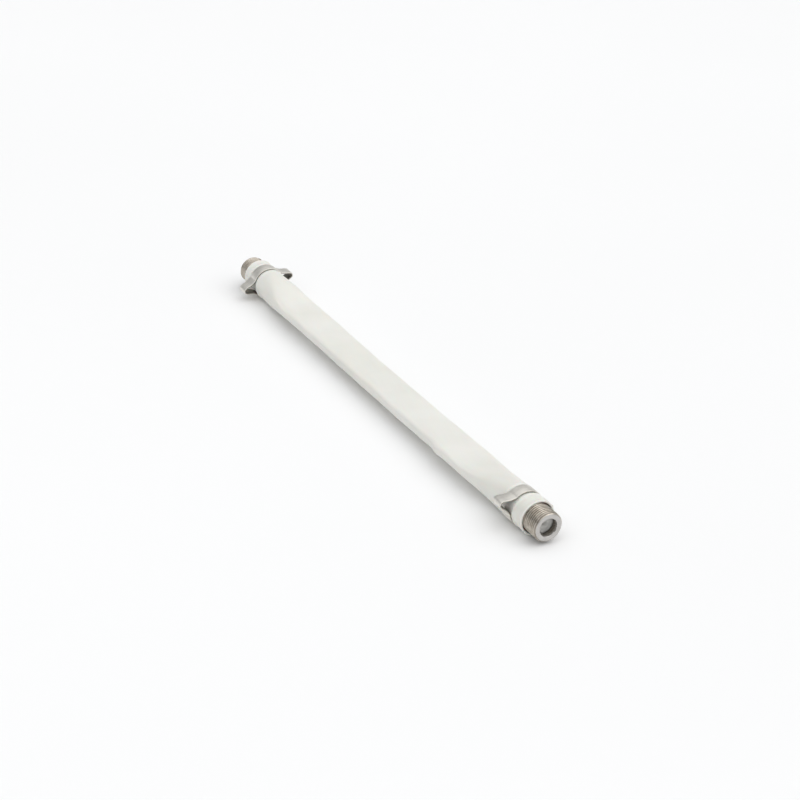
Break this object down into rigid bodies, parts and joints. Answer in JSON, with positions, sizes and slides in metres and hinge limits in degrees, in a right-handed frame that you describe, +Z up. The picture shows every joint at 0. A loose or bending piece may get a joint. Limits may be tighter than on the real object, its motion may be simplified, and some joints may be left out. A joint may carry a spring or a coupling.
{
  "type": "flat coaxial jumper lead",
  "caption": "Short flat coaxial lead that carries an aerial or cable signal past a closed window or door, with a threaded F jack at each end held in a soft sleeve by eared crimp clamps.",
  "frame": {"origin": "middle of the lead's length and width, on the surface that its two clamp bands rest on", "axes": "+X along the lead towards jack A, +Y across the flat cable, +Z up, square to the flat of the cable"},
  "size_m": [0.203, 0.0192, 0.0116],
  "materials": {
    "nickel_plate": "nickel plated over turned brass, satin with bright thread crests",
    "clamp_steel": "pale rolled strip, lightly brushed along its length",
    "sleeve": "off-white soft vinyl, satin",
    "cable_jacket": "thin extruded jacket, matt",
    "insulator": "translucent grey-white moulding",
    "contact": "plated spring bronze, semi-bright",
    "copper": "bare rolled copper, semi-bright",
    "shield_foil": "thin foil and braid, dull silver",
    "dielectric": "foamed plastic tape, matt",
    "solder": "smooth bright solder"
  },
  "bodies": {
    "end_a": {"jack_shell_a": "nickel_plate", "front_insulator_a": "insulator", "centre_contact_a": "contact", "rear_insulator_a": "insulator", "retaining_ring_a": "nickel_plate", "solder_joint_a": "solder", "ear_clamp_a": "clamp_steel", "outer_sleeve": "sleeve", "cable_jacket": "cable_jacket", "shield_upper": "shield_foil", "shield_lower": "shield_foil", "dielectric_upper": "dielectric", "dielectric_lower": "dielectric", "centre_strip": "copper"},
    "end_b": {"jack_shell_b": "nickel_plate", "front_insulator_b": "insulator", "centre_contact_b": "contact", "rear_insulator_b": "insulator", "retaining_ring_b": "nickel_plate", "solder_joint_b": "solder", "ear_clamp_b": "clamp_steel"}
  },
  "joints": [
    {"name": "cable_bend", "type": "hinge", "parent": "end_a", "child": "end_b", "pos_m": [0, 0, 0.0058], "axis": [0, 1, 0], "range_deg": [0, 90], "deforming": ["outer_sleeve", "cable_jacket", "shield_upper", "shield_lower", "dielectric_upper", "dielectric_lower", "centre_strip"]}
  ]
}
